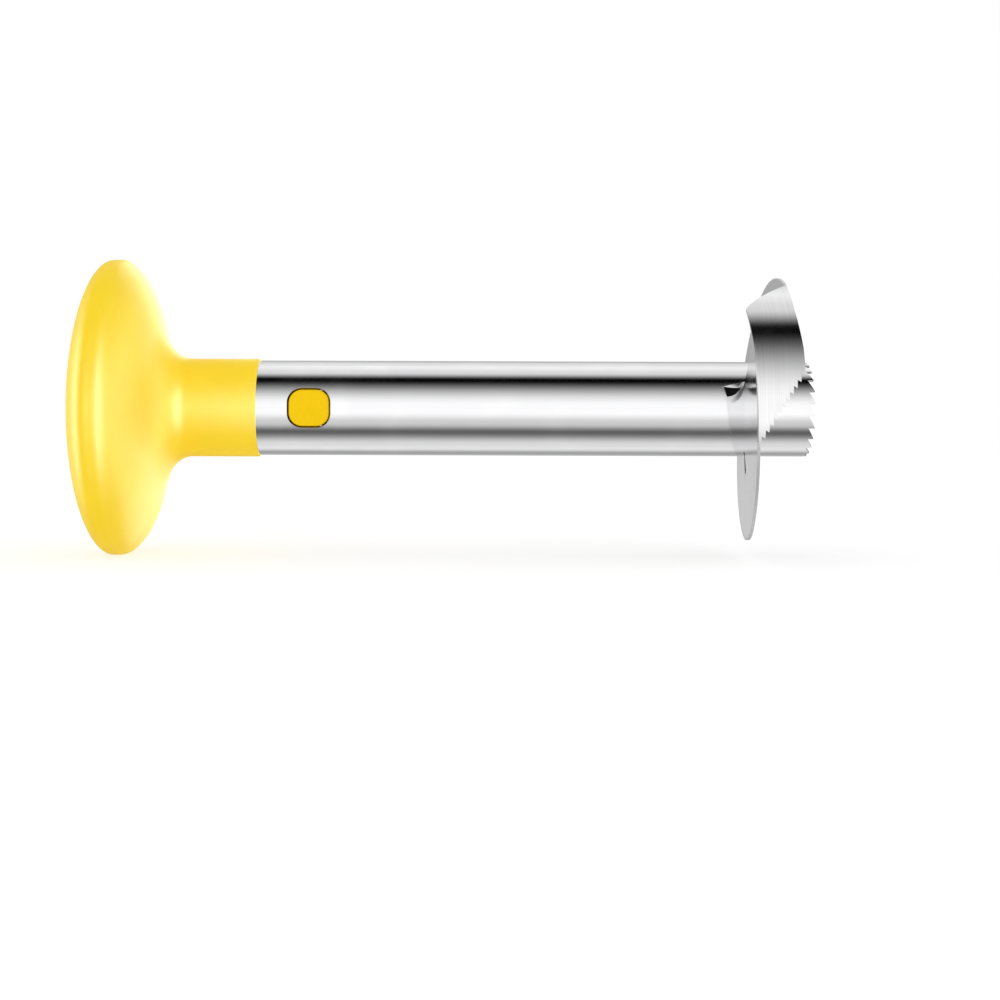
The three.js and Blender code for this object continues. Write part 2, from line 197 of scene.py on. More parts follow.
def finishMaterial(wire, look, height, inputs):
    relief = {"Height": height, "Strength": look["bump"], "Distance": look["bumpHeight"] * mm}
    normal = wire.node("ShaderNodeBump", None, relief)
    surface = wire.node("ShaderNodeBsdfPrincipled", None, {**inputs, "Normal": normal})
    wire.node("ShaderNodeOutputMaterial", None, {"Surface": surface})


# Moulded plastic: an even colour with slow drifts, a fine spark-eroded grain and a soft sheen
def mouldedPlastic(name, look):
    material, wire = newMaterial(name)
    drift = noise(wire, grainPlace(wire, [look["driftSize"]] * 3), 3)
    grain = noise(wire, grainPlace(wire, [look["grainSize"]] * 3), 2, look["harshness"])
    pores = noise(wire, grainPlace(wire, [look["poreSize"]] * 3), 1)
    tone = drift * look["driftShare"] + grain * (1 - look["driftShare"])
    height = grain * look["grainDepth"] + pores.climb(*look["pores"]) * look["poreDepth"]
    finishMaterial(wire, look, height, {
        "Base Color": shades(tone.climb(*look["tones"]), look),
        "Roughness": look["roughness"] + (grain - 0.5) * look["roughnessSpread"],
        "Specular IOR Level": look["gloss"],
    })
    return material


# Drawn and polished steel: faint lines along the tool, smudges from handling, and a bore left with
# its dull drawing scale where the attribute says inside.
def drawnSteel(name, look):
    material, wire = newMaterial(name)
    lines = noise(wire, grainPlace(wire, [look["lineLength"], look["lineWidth"], look["lineWidth"]]), 3)
    smudge = noise(wire, grainPlace(wire, [look["smudgeSize"]] * 3), 3, look["harshness"])
    smudge = smudge.climb(*look["smudges"])
    tone = lines * look["lineShare"] + smudge * (1 - look["lineShare"])
    inside = stored(wire, "inside")
    rough = look["roughness"] + lines * look["lineRoughness"] + smudge * look["smudgeRoughness"]
    finishMaterial(wire, look, lines, {
        "Base Color": inside.blend(shades(tone.climb(*look["tones"]), look), (*look["scale"], 1)),
        "Metallic": 1.0,
        "Roughness": rough + inside * look["scaleRoughness"],
    })
    return material


# Blade steel: fine rings round the axis from the grinding wheel, scratches across a ground edge, a
# streaky root beside the tube, a dull rim, and near-black painted shade along the slit's cut edges
# and a painted dark reflection on the plate in front of the tube.
def groundSteel(name, look):
    material, wire = newMaterial(name)
    along, across, height = wire.node("ShaderNodeTexCoord", output="Object").parts()
    up = height - axisHeight
    radius = (across ** 2 + up ** 2) ** 0.5
    turn = wire.maths("ARCTAN2", across, up)

    # Noise laid out by radius, turn and x: a few breaks in a turn draw rings, many draw short scratches.
    def aroundBlade(size, breaks):
        inputs = {0: radius / (size * mm), 1: turn * breaks, 2: along / (size * mm)}
        return noise(wire, wire.node("ShaderNodeCombineXYZ", None, inputs), 2)

    lines = aroundBlade(look["ringWidth"], look["ringBreaks"])
    scratches = aroundBlade(look["scratchLength"], look["scratchBreaks"])
    smudge = noise(wire, grainPlace(wire, [look["smudgeSize"]] * 3), 3).climb(*look["smudges"])
    # The second stored mark is painted: shade along the slit's cut edges and a dark reflection beside the
    # tube, both blended to near-black.
    edge, stain, dull = (stored(wire, name) for name in ("ground", "stain", "dull"))
    root = 1 - radius.climb(tube["radius"] * mm, (tube["radius"] + look["rootWidth"]) * mm)
    pattern = lines + wire.maths("MAXIMUM", edge, root * look["rootStreaks"]) * (scratches - lines)
    rough = look["roughness"] + smudge * look["smudgeRoughness"] + edge * look["edgeRoughness"]
    rough = rough + dull * look["dullRoughness"] + stain * look["edgeRoughness"]
    finishMaterial(wire, look, pattern, {
        "Base Color": stain.blend(shades(pattern.climb(*look["tones"]), look), (*look["paintedDarkness"], 1)),
        "Metallic": 1.0,
        "Roughness": rough + lines * look["lineRoughness"],
    })
    return material


yellowLook = {
    "deep": (0.90, 0.625, 0.004), "pale": (0.93, 0.665, 0.008), "driftSize": 14, "grainSize": 0.55,
    "poreSize": 0.22, "harshness": 0.6, "roughness": 0.48, "roughnessSpread": 0.12, "gloss": 0.16,
    "driftShare": 0.7, "tones": (0.3, 0.7), "grainDepth": 0.7, "pores": (0.35, 0.5), "poreDepth": 0.5,
    "bump": 0.12, "bumpHeight": 0.05,
}
buttonLook = dict(yellowLook, deep=(0.89, 0.57, 0.001), pale=(0.935, 0.61, 0.002), gloss=0.12, roughness=0.6)
plugLook = dict(yellowLook, deep=(0.72, 0.71, 0.66), pale=(0.80, 0.79, 0.74), roughness=0.5)
tubeLook = {
    "deep": (0.80, 0.80, 0.81), "pale": (0.86, 0.86, 0.865), "lineLength": 60, "lineWidth": 0.25,
    "smudgeSize": 22, "harshness": 0.6, "roughness": 0.06, "lineRoughness": 0.03, "smudgeRoughness": 0.04,
    "lineShare": 0.6, "tones": (0.2, 0.8), "smudges": (0.45, 0.75),
    "bump": 0.03, "bumpHeight": 0.02, "scale": (0.24, 0.24, 0.245), "scaleRoughness": 0.25,
}
zincLook = dict(
    tubeLook, deep=(0.42, 0.43, 0.45), pale=(0.56, 0.57, 0.58), lineLength=0.8, lineWidth=0.8,
    smudgeSize=2.5, roughness=0.25, smudgeRoughness=0.15, bump=0.2,
)
wireLook = dict(zincLook, deep=(0.30, 0.30, 0.31), pale=(0.48, 0.48, 0.49), lineLength=0.4, lineWidth=0.2)
# The blade's darkest colour is for the plate's painted shade along the slit and its painted dark reflection
# beside the tube.
bladeLook = {
    "deep": (0.75, 0.75, 0.76), "pale": (0.83, 0.83, 0.835), "ringWidth": 0.16, "ringBreaks": 1.5,
    "scratchLength": 1.6, "scratchBreaks": 260, "smudgeSize": 18, "roughness": 0.08,
    "smudgeRoughness": 0.05, "edgeRoughness": 0.12, "lineRoughness": 0.03, "bump": 0.03, "bumpHeight": 0.02,
    "rootWidth": 9, "rootStreaks": 0.6, "paintedDarkness": (0.006, 0.006, 0.006), "dullRoughness": 0.42,
    "tones": (0.2, 0.8), "smudges": (0.45, 0.75),
}
plateLook = dict(bladeLook, roughness=0.14)
weldLook = dict(bladeLook, deep=(0.50, 0.50, 0.51), pale=(0.66, 0.66, 0.665), roughness=0.3)
yellowPlastic = mouldedPlastic("yellow_plastic", yellowLook)
buttonPlastic = mouldedPlastic("button_plastic", buttonLook)
plugPlastic = mouldedPlastic("plug_plastic", plugLook)
tubeSteel = drawnSteel("tube_steel", tubeLook)
zincSteel = drawnSteel("zinc_steel", zincLook)
springSteel = drawnSteel("spring_steel", wireLook)
bladeSteel = groundSteel("blade_steel", bladeLook)
plateSteel = groundSteel("plate_steel", plateLook)
weldSteel = groundSteel("weld_steel", weldLook)
print("materials: 9 made")


# Points in the frame, in metres, from x along the tool, an angle round it and a distance from the axis
def aroundAxis(x, angle, radius):
    x, angle, radius = np.broadcast_arrays(x, np.radians(angle), radius)
    return np.stack([
        x * mm + rimX, -np.sin(angle) * radius * mm, np.cos(angle) * radius * mm + axisHeight,
    ], axis=-1)


# Points in the frame from x, y and z in millimetres, the last two measured from the axis
def fromAxis(x, y, z):
    x, y, z = np.broadcast_arrays(x, y, z)
    return np.stack([x * mm + rimX, y * mm, z * mm + axisHeight], axis=-1)


# Quads of a grid of rows and columns; a closed direction joins its last line to its first.
def gridQuads(rows, columns, closedRows, closedColumns):
    row = np.arange(rows if closedRows else rows - 1)[:, None]
    column = np.arange(columns if closedColumns else columns - 1)[None, :]
    nextRow, nextColumn = (row + 1) % rows, (column + 1) % columns
    corners = [row * columns + column, nextRow * columns + column,
               nextRow * columns + nextColumn, row * columns + nextColumn]
    return np.stack([np.broadcast_to(c, (row.size, column.size)).ravel() for c in corners], axis=1)


# Puts a finished mesh in the scene: one material, smooth but for its sharp edges.
def showMesh(name, mesh, material, sharpAngle=sharp["usual"]):
    mesh.materials.clear()
    mesh.materials.append(material)
    mesh.shade_smooth()
    mesh.set_sharp_from_angle(angle=math.radians(sharpAngle))
    piece = bpy.data.objects.new(name, mesh)
    bpy.context.scene.collection.objects.link(piece)
    return piece


# A piece from points and quads: doubles merged and faces out. Marks are numbers stored at its points.
def makePiece(name, points, quads, material, sharpAngle=sharp["usual"], marks=None):
    mesh = bpy.data.meshes.new(name)
    mesh.from_pydata(np.asarray(points).reshape(-1, 3), [], quads)
    for mark, values in (marks or {}).items():
        mesh.attributes.new(mark, "FLOAT", "POINT").data.foreach_set("value", values)
    work = bmesh.new()
    work.from_mesh(mesh)
    bmesh.ops.remove_doubles(work, verts=work.verts, dist=fit["merge"] * mm)
    bmesh.ops.recalc_face_normals(work, faces=work.faces)
    work.to_mesh(mesh)
    work.free()
    return showMesh(name, mesh, material, sharpAngle)


def place(piece, body, slotName, *nodes):
    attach(piece, body)
    if nodes:
        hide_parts(*nodes)


# Directions of some vectors. A zero vector stays zero.
def directions(away):
    return away / np.maximum(np.linalg.norm(away, axis=-1, keepdims=True), tiny)


# Points of the square from -1 to 1 land on a rectangle, and past its corners' centres on the corners'
# arcs: the centre that each point turns round, and its direction from there.
def roundedRectangle(u, v, half, corner):
    spot = np.stack([u, v], axis=1) * half
    centre = np.clip(spot, corner - half, half - corner)
    return centre, directions(spot - centre)


# Rounding: steps of a corner, and how much of the way to the next corner it may take
rounding = {"steps": 4, "longestShare": 0.45}


# An outline whose corners are rounded: each row is x, radius, size of the rounding and a hexagon share.
# A corner becomes a quadratic curve that starts and ends that far from it. A size of 0 keeps the point.
def softened(rows, closedLoop=True):
    rows = np.asarray(rows, float)
    before, after = np.roll(rows, 1, 0), np.roll(rows, -1, 0)
    if not closedLoop:
        before[0], after[-1] = rows[0], rows[-1]
    size = rows[:, 2:3]

    def towards(other):
        step = other[:, :2] - rows[:, :2]
        length = np.maximum(np.linalg.norm(step, axis=1, keepdims=True), tiny)
        return rows[:, :2] + step / length * np.minimum(size, length * rounding["longestShare"])

    start, end = towards(before), towards(after)
    t = np.linspace(0, 1, rounding["steps"] + 1)[None, :, None]
    curve = (1 - t) ** 2 * start[:, None] + 2 * t * (1 - t) * rows[:, None, :2] + t ** 2 * end[:, None]
    share = np.broadcast_to(rows[:, None, 3:4], curve.shape[:2] + (1,))
    kept = np.ones(curve.shape[:2], bool)
    kept[rows[:, 2] == 0, 1:] = False
    return np.concatenate([curve, share], axis=2)[kept]


# Rows for a smooth stretch of an outline, whose points need no rounding
def smoothRows(x, radius):
    return np.stack([x, radius, np.zeros_like(x), np.zeros_like(x)], axis=1)


# A quarter of an ellipse from the rim (turn 0) towards the axis (turn 1)
def lensArc(radius, depth, startX, side, startTurn, endTurn, steps):
    angle = np.linspace(startTurn, endTurn, steps) * math.pi / 2
    return startX + side * depth * np.sin(angle), radius * np.cos(angle)


def turnAt(radius, lensRadius):
    return math.acos(radius / lensRadius) / (math.pi / 2)


# Spins an outline of x, radius and hexagon share. Where the share is 1 the radius is to a hexagon's
# corners: it shrinks by cos 30 over the cosine of the angle from the middle of the nearest flat.
def spun(name, outline, sides, material, closedLoop=True):
    angle = np.arange(sides) * 360 / sides
    flat = np.radians((angle + 30) % 60 - 30)
    hexagon = math.cos(math.pi / 6) / np.cos(flat)
    radius = outline[:, 1:2] * (1 + outline[:, 2:3] * (hexagon - 1))
    points = aroundAxis(outline[:, 0:1], angle[None, :], radius)
    quads = gridQuads(len(outline), sides, closedLoop, True)
    return makePiece(name, points, quads, material)


# Knob and neck: the dome, the rim, the back that flares into the neck, and the hollow inside
knob = {
    "radius": axisHeight / mm, "frontDepth": 12.5, "backDepth": 15.4, "rimFront": 0.3, "rimBack": 1.6,
    "wall": 2.6, "flareRadius": 28, "neckRadius": 15.95, "neckStart": 24.6,
    "neckEnd": tube["start"] - fit["touch"], "neckBore": 10.5,
    "bulkheadWall": 4, "socketDepth": 12, "socketRadius": 12, "screwHole": 2.4,
    "edge": 0.2, "seatEdge": 0.1, "webEdge": 0.8, "sides": 240, "steps": 64, "innerSteps": 21,
}
cap = {
    "radius": 20.5, "wall": 2, "ledge": 1.8, "skirtDepth": 6, "skirtWall": 1.4, "edge": 0.3,
}


# The back runs down an ellipse to the flare radius, and from there along a cubic curve that leaves
# at the ellipse's slope and arrives level at the neck.
def backRows(radius, depth, flareRadius, endRadius, endX, steps):
    x, r = lensArc(radius, depth, knob["rimBack"], 1, 0, turnAt(flareRadius, radius), steps)
    slope = -(r[-1] / radius ** 2) * (depth ** 2 / (x[-1] - knob["rimBack"]))
    reach = (r[-1] - endRadius) / 2
    t = np.linspace(0, 1, steps // 2)[1:]
    hold = [
        (x[-1], r[-1]), (x[-1] - slope * reach, r[-1] - reach), ((x[-1] + endX) / 2, endRadius),
        (endX, endRadius),
    ]
    weights = [(1 - t) ** 3, 3 * t * (1 - t) ** 2, 3 * t ** 2 * (1 - t), t ** 3]
    flareX = sum(w * h[0] for w, h in zip(weights, hold))
    flareR = sum(w * h[1] for w, h in zip(weights, hold))
    return smoothRows(np.append(x, flareX), np.append(r, flareR))


def makeHandleShell():
    land, wall, edge = knob["rimFront"], knob["wall"], knob["edge"]
    radius, inner = knob["radius"], knob["radius"] - wall
    steps, innerSteps = knob["steps"], knob["innerSteps"]
    seatRadius = cap["radius"] + fit["clearance"]
    domeX, domeR = lensArc(radius, knob["frontDepth"], -land, -1, turnAt(seatRadius, radius), 0, steps)
    seatX = domeX[0] + cap["wall"] + fit["clearance"]
    ledge = cap["radius"] - cap["ledge"]
    hollowX, hollowR = lensArc(
        inner, knob["frontDepth"] - wall, -land, -1, 0, turnAt(ledge + wall * 2, inner), innerSteps)
    depth, flare, neckStart = knob["backDepth"], knob["flareRadius"], knob["neckStart"]
    back = backRows(radius, depth, flare, knob["neckRadius"], neckStart, steps)
    hollowBack = backRows(inner, depth - wall, flare - wall, knob["neckBore"], neckStart, innerSteps)
    end, socket = knob["neckEnd"], knob["socketRadius"] + fit["clearance"]
    socketEnd, hole = end - knob["socketDepth"], knob["screwHole"]
    web = socketEnd - knob["bulkheadWall"]
    rows = np.vstack([
        [(seatX, seatRadius, knob["seatEdge"], 0)],
        [(domeX[0], domeR[0], cap["edge"], 0)],
        smoothRows(domeX[1:], domeR[1:]),
        back,
        [(end, knob["neckRadius"], edge, 0), (end, socket, edge, 1), (socketEnd, socket, edge, 1)],
        [(socketEnd, hole, edge, 0), (web, hole, edge, 0), (web, knob["neckBore"], knob["webEdge"], 0)],
        hollowBack[::-1],
        smoothRows(hollowX, hollowR),
        [(seatX + wall / 2, ledge, edge, 0), (seatX, ledge, edge, 0)],
    ])
    shell = spun("handle_shell", softened(rows), knob["sides"], yellowPlastic)
    place(shell, "handle", "yellow_plastic", "handle_body")


def makeKnobLid():
    radius, edge = cap["radius"], cap["edge"]
    startTurn, endTurn = 1, turnAt(radius, knob["radius"])
    domeX, domeR = lensArc(
        knob["radius"], knob["frontDepth"], -knob["rimFront"], -1, startTurn, endTurn, knob["steps"])
    skirt = radius - cap["ledge"] - fit["clearance"]
    within = skirt - cap["skirtWall"]
    under, deep = domeX[-1] + cap["wall"], domeX[-1] + cap["skirtDepth"]
    rows = np.vstack([
        smoothRows(domeX[:-1], np.append(0, domeR[1:-1])),
        [(domeX[-1], domeR[-1], edge, 0), (under, radius, edge, 0), (under, skirt, knob["seatEdge"], 0)],
        [(deep, skirt, edge, 0), (deep, within, edge, 0), (under, within, edge, 0), (under, 0, 0, 0)],
    ])
    lid = spun("knob_lid", softened(rows, False), knob["sides"], yellowPlastic, closedLoop=False)
    place(lid, "handle", "yellow_plastic", "knob_cap")


makeHandleShell()
makeKnobLid()
print("handle: shell and lid made")


# Thickens a sheet into a solid: both sides share one list of quads, and each edge that only one quad
# uses gets a quad between the sides.
def sheetSolid(front, back, quads):
    count = len(front)
    edges = np.concatenate([quads[:, [i, (i + 1) % 4]] for i in range(4)])
    ends = np.sort(edges, axis=1)
    unused, which, uses = np.unique(ends[:, 0] * count + ends[:, 1], return_inverse=True, return_counts=True)
    rim = edges[uses[which.ravel()] == 1]
    walls = np.stack([rim[:, 1], rim[:, 0], rim[:, 0] + count, rim[:, 1] + count], axis=1)
    return np.concatenate([front, back]), np.concatenate([quads, quads[:, ::-1] + count, walls])


# A sheet laid out as x against angle, closed round the axis, with its last row on the saw teeth.
sheet = {
    "rowGap": 6.0, "fineGap": 0.8, "sawLead": 1.6, "sawRows": 4, "margin": 1.6, "rings": 6,
    "flankColumns": 11, "steepShares": (0.97, 0.998),      # a tooth's long flank, and its steep one
}


def toothColumns():
    lean = np.append(np.linspace(0, tube["leanShare"], sheet["flankColumns"]), sheet["steepShares"])
    share = (np.arange(tube["teeth"])[:, None] + lean[None, :] - tube["phaseShare"]).ravel()
    height = np.minimum(np.tile(lean, tube["teeth"]) / tube["leanShare"], 1)
    return share * 360 / tube["teeth"], tube["tip"] - tube["toothDepth"] * (1 - height)


# The window's outline: a rounded rectangle, whose points across the tube turn into angles
def windowOutline(u, v, middleAngle):
    half = np.array([tube["windowLength"], tube["windowHeight"]]) / 2
    centre, away = roundedRectangle(u, v, half, tube["windowCorner"])
    spot = centre + away * tube["windowCorner"]
    angle = middleAngle + np.degrees(np.arcsin(spot[:, 1] / tube["radius"]))
    return [np.stack([tube["windowX"] + spot[:, 0], angle, np.zeros_like(angle)], axis=1)]


# The drain hole's outline: a straight slanted top, a straight nose, and one quadratic curve from the
# top's far end round to the nose. Its second ring is a lip along the top, bent into the tube.
def drainOutline(u, v, middleAngle):
    start, length, nose = tube["drainStart"], tube["drainLength"], tube["drainNose"]
    (topStart, topEnd), bottom = tube["drainTop"], tube["drainBottom"]
    t = np.where(u >= 1, (v + 1) / 4, 0.5 + (1 - u) / 4)
    fromTop, middle, toNose = (1 - t) ** 2, 2 * t * (1 - t), t ** 2
    curveX = fromTop * (start + length) + middle * (start + length * tube["drainBelly"])
    curveX += toNose * (start + nose)
    curveAngle = fromTop * topEnd + (1 - fromTop) * bottom
    along, down = (u + 1) / 2, (v + 1) / 2
    edge = [v <= -1, (u >= 1) | (v >= 1)]
    x = np.select(edge, [start + along * length, curveX], start + down * nose)
    topAngle, noseAngle = topStart + (topEnd - topStart) * along, topStart + (bottom - topStart) * down
    angle = np.select(edge, [topAngle, curveAngle], noseAngle)
    lip = np.where(v <= -1, np.sin(along * math.pi / 2), 0) * (u < 1)
    bent = [x, angle + tube["lipReach"] * lip, tube["lipDrop"] * lip]
    return [np.stack([x, angle, np.zeros_like(x)], axis=1), np.stack(bent, axis=1)]


# Takes a block of cells out of the sheet and fills it with rings, from the block's edge to a hole.
def openHole(spots, quads, shape, rowRange, columnRange, outline, middleAngle):
    (top, bottom), (left, right) = rowRange, columnRange
    width = shape[1]
    row, column = quads[:, 0] // width, quads[:, 0] % width
    main = quads.max(1) < shape[0] * width      # not a cell of an earlier hole's rings
    inside = main & (row >= top) & (row < bottom) & (column >= left) & (column < right)
    quads = quads[~inside]
    down, across = np.arange(top, bottom), np.arange(left, right)
    below, above = np.full(across.size, bottom), np.full(across.size, top)
    near, far = np.full(down.size, left), np.full(down.size, right)
    loopRow = np.concatenate([down, below, down[::-1] + 1, above])
    loopColumn = np.concatenate([near, across, far, across[::-1] + 1])
    ring = loopRow * width + loopColumn
    edge = spots[ring]
    low, high = edge[:, :2].min(0), edge[:, :2].max(0)
    u, v = np.round(2 * (edge[:, :2] - low) / (high - low) - 1, 6).T
    hole, *lips = outline(u, v, middleAngle)
    share = np.linspace(0, 1, sheet["rings"] + 1)[1:, None, None]
    rings = np.concatenate([edge + (hole - edge) * share, *[[lip] for lip in lips]])
    added = np.arange(rings.shape[0] * rings.shape[1]).reshape(rings.shape[:2])
    index = np.vstack([ring, len(spots) + added])
    rings = rings.reshape(-1, 3)
    nextIndex = np.roll(index, -1, axis=1)
    filled = np.stack([index[:-1], nextIndex[:-1], nextIndex[1:], index[1:]], axis=-1).reshape(-1, 4)
    return np.concatenate([spots, rings]), np.concatenate([quads, filled])


def makeTubeShell():
    columns, sawX = toothColumns()
    margin = sheet["margin"]
    windowHalf = tube["windowLength"] / 2 + margin
    drainEnd = tube["drainStart"] + tube["drainLength"]
    stops = [
        tube["start"], tube["windowX"] - windowHalf, tube["windowX"] + windowHalf,
        tube["drainStart"] - margin, drainEnd + margin, tube["tip"] - tube["toothDepth"] - sheet["sawLead"],
    ]
    gaps = [sheet["rowGap"], sheet["fineGap"], sheet["rowGap"], sheet["fineGap"], sheet["rowGap"]]
    counts = [max(1, round((b - a) / size)) for a, b, size in zip(stops, stops[1:], gaps)]
    stretches = [np.linspace(a, b, n, endpoint=False) for a, b, n in zip(stops, stops[1:], counts)]
    straight = np.append(np.concatenate(stretches), stops[-1])
    lead = np.linspace(0, 1, sheet["sawRows"] + 1)[1:, None]
    rowX = np.vstack([np.repeat(straight[:, None], columns.size, 1), stops[-1] + (sawX - stops[-1]) * lead])
    shape = rowX.shape
    spots = np.stack([rowX, np.broadcast_to(columns, shape), np.zeros(shape)], axis=-1).reshape(-1, 3)
    quads = gridQuads(*shape, False, True)
    first = np.cumsum([0] + counts)
    reach = math.degrees(math.asin((tube["windowHeight"] / 2 + margin) / tube["radius"]))
    drainMiddle = (tube["drainTop"][1] + tube["drainBottom"]) / 2
    drainReach = tube["drainBottom"] - drainMiddle + math.degrees(margin / tube["radius"])
    holes = [(middle, reach, first[1:3], windowOutline) for middle in tube["windowAngles"]]
    holes.append((drainMiddle, drainReach, first[3:5], drainOutline))
    for middle, spread, rows, outline in holes:
        sides = tuple(np.abs(columns - middle - side * spread).argmin() for side in (-1, 1))
        spots, quads = openHole(spots, quads, shape, rows, sides, outline, middle)
    outer = aroundAxis(spots[:, 0], spots[:, 1], tube["radius"] - spots[:, 2])
    inner = aroundAxis(spots[:, 0], spots[:, 1], tube["radius"] - tube["wall"] - spots[:, 2])
    marks = {"inside": np.repeat([0.0, 1.0], len(spots))}
    piece = makePiece("tube_shell", *sheetSolid(outer, inner, quads), tubeSteel, marks=marks)
    place(piece, "cutter", "polished_steel", "corer_tube")


makeTubeShell()
print("tube: shell, windows, drain hole and teeth made")


# Helical blade: a plate round the tube, with a slit at its root and a ground cutting end
blade = {
    "radius": 42.65, "wall": 0.8, "startX": 201.3, "rise": 13.4, "rootLift": 1.3, "liftShare": 0.28,
    "startAngle": 60, "endAngle": 384.2, "startShare": 0.3, "endShare": 0.3, "bevel": 1.6, "edgeShare": 0.3,
    "slitAngle": 180, "slitLength": 5.8, "slitWidth": 0.9, "slitStep": 0.8, "slitEase": 24, "slitSpread": 8,
    "slitPower": 0.3, "groundShare": 0.5, "coverMargin": 2, "coverGap": 0.1,
    # painted dark reflection on the plate where the joint with the tube starts: how dark it
    # is at each height over the axis
    "paintedDarkness": [(6.3, 0), (7, 0.8), (7.7, 0.91), (9.5, 0.98), (10.2, 0.89), (10.8, 0.74), (11.4, 0.38), (13, 0)],
    "paintedReflectionFrom": 24, "paintedReflectionTo": 38, "paintedReflectionEnd": 90,
    # points across the plate, and along it under the band, on to the slit and past it
    "across": 28, "underBand": 46, "toSlit": 75, "pastSlit": 204,
    "weldWidth": 0.7, "weldHeight": 0.4, "weldStart": 2, "weldEnd": 1, "weldSteps": 600, "weldSides": 14,
    "weldRipples": 150, "weldRippleShare": 0.05, "weldRunOut": 40,
}
band = {
    "wall": 0.8, "endX": 215.6, "skew": 0.3, "topLeft": 43.3, "topRight": 23.2, "topBendShare": 0.85,
    "toothLeft": 103.7, "toothRight": 72.7, "teeth": 12, "flatShare": 0.86, "hookShare": 0.35,
    "lean": 0.9, "leanTop": 44, "leanEnd": 64,
    "rows": 110, "rowPower": 0.85, "quarters": (0, 0.25, 0.5, 0.75), "grind": 1.6, "edgeShare": 0.35,
    "fold": 1.0, "foldAngle": 40, "foldSteps": 6, "foldFrom": 62, "foldFull": 74,
}


# How far the blade has climbed at an angle: the pitch grows, holds steady and dies out again. Near its
# start the plate is dished: its root (outward 0) stands a little ahead of its rim (outward 1).
def bladeX(angle, outward=1):
    turn = (angle - blade["startAngle"]) / (blade["endAngle"] - blade["startAngle"])
    a, b = blade["startShare"], blade["endShare"]
    start = np.minimum(turn, a)
    end = np.maximum(0, turn - (1 - b))
    climb = start ** 2 / (2 * a) + (turn - start - end) + end - end ** 2 / (2 * b)
    lift = blade["rootLift"] * (1 - outward) * np.clip(1 - turn / blade["liftShare"], 0, 1)
    return blade["startX"] + blade["rise"] * climb / (1 - (a + b) / 2) + lift


def makeBladePlate():
    inner = tube["radius"] + fit["touch"]
    covered = blade["radius"] - band["wall"] - fit["touch"]
    coverEnd = band["toothLeft"] + blade["coverMargin"]
    slitTip = tube["radius"] + fit["clearance"] + blade["slitLength"]
    # Columns of angle; the one at the slit comes twice, and its copies part below the slit's tip.
    angle = np.concatenate([
        np.linspace(blade["startAngle"], coverEnd, blade["underBand"]),
        np.linspace(coverEnd + blade["coverGap"], blade["slitAngle"], blade["toSlit"]),
        np.linspace(blade["slitAngle"], blade["endAngle"], blade["pastSlit"]),
    ])
    rim = np.where(angle <= coverEnd, covered, blade["radius"])
    share = np.linspace(0, 1, blade["across"])
    tipRow = int(round((slitTip - inner) / (blade["radius"] - inner) * (share.size - 1)))
    radius = inner + (rim[:, None] - inner) * share[None, :]
    turned = np.repeat(angle[:, None], share.size, 1)
    split = blade["underBand"] + blade["toSlit"] - 1      # the last column before the slit
    taper = np.clip(1 - np.arange(share.size) / tipRow, 0, 1) ** blade["slitPower"]
    opening = np.degrees(blade["slitWidth"] / 2 / radius[split]) * taper
    # The columns beside the slit share its opening, so that none of them crosses another
    away = np.abs(angle - blade["slitAngle"])
    spread = np.clip(1 - away / blade["slitSpread"], 0, 1)
    spread[:split + 1] *= -1
    turned += spread[:, None] * opening
    past = np.clip(1 - away / blade["slitEase"], 0, 1) ** 2
    past[split + 1:] *= -1
    # Painted shade: the points along the slit's cut edges are marked to turn near-black, like a gap in
    # shadow.
    stain = np.zeros_like(turned)
    stain[[split, split + 1]] = taper > 0
    quads = gridQuads(angle.size, share.size, False, False)
    quads = quads[quads[:, 0] // share.size != split]
    # Below the tip the copies stay apart; from there on the second copy is the first.
    index = np.arange(angle.size * share.size)
    twin = index.reshape(angle.size, -1)
    twin[split + 1, tipRow:] = twin[split, tipRow:]
    quads = index[quads]
    bevelAngle = math.degrees(blade["bevel"] / blade["radius"])
    left = np.clip((blade["endAngle"] - turned) / bevelAngle, 0, 1)
    wall = blade["wall"] * (blade["edgeShare"] + (1 - blade["edgeShare"]) * left)
    outward = (radius - inner) / (blade["radius"] - inner)
    x = bladeX(turned, outward) + blade["slitStep"] / 2 * past[:, None] * taper
    sides = [aroundAxis(x + side * wall / 2, turned, radius).reshape(-1, 3) for side in (1, -1)]
    points, faces = sheetSolid(*sides, quads)
    # Dull along the rim, and a painted dark reflection in front of the tube
    height = radius * np.cos(np.radians(turned))
    near = np.clip((blade["paintedReflectionTo"] - radius) / (blade["paintedReflectionTo"] - blade["paintedReflectionFrom"]), 0, 1)
    paintedDarkness = np.interp(height, *zip(*blade["paintedDarkness"])) * near * (turned < blade["paintedReflectionEnd"])
    dull = np.broadcast_to(share == 1, turned.shape)
    values = {"ground": blade["groundShare"] * (left < 1), "stain": stain, "dull": dull}
    marks = {mark: np.tile(value.astype(float).ravel(), 2) for mark, value in values.items()}
    marks["stain"][paintedDarkness.size:] += paintedDarkness.ravel()      # the side that faces the knob comes second
    piece = makePiece("blade_plate", points, faces, plateSteel, marks=marks)
    place(piece, "cutter", "blade_steel", "slicing_blade")


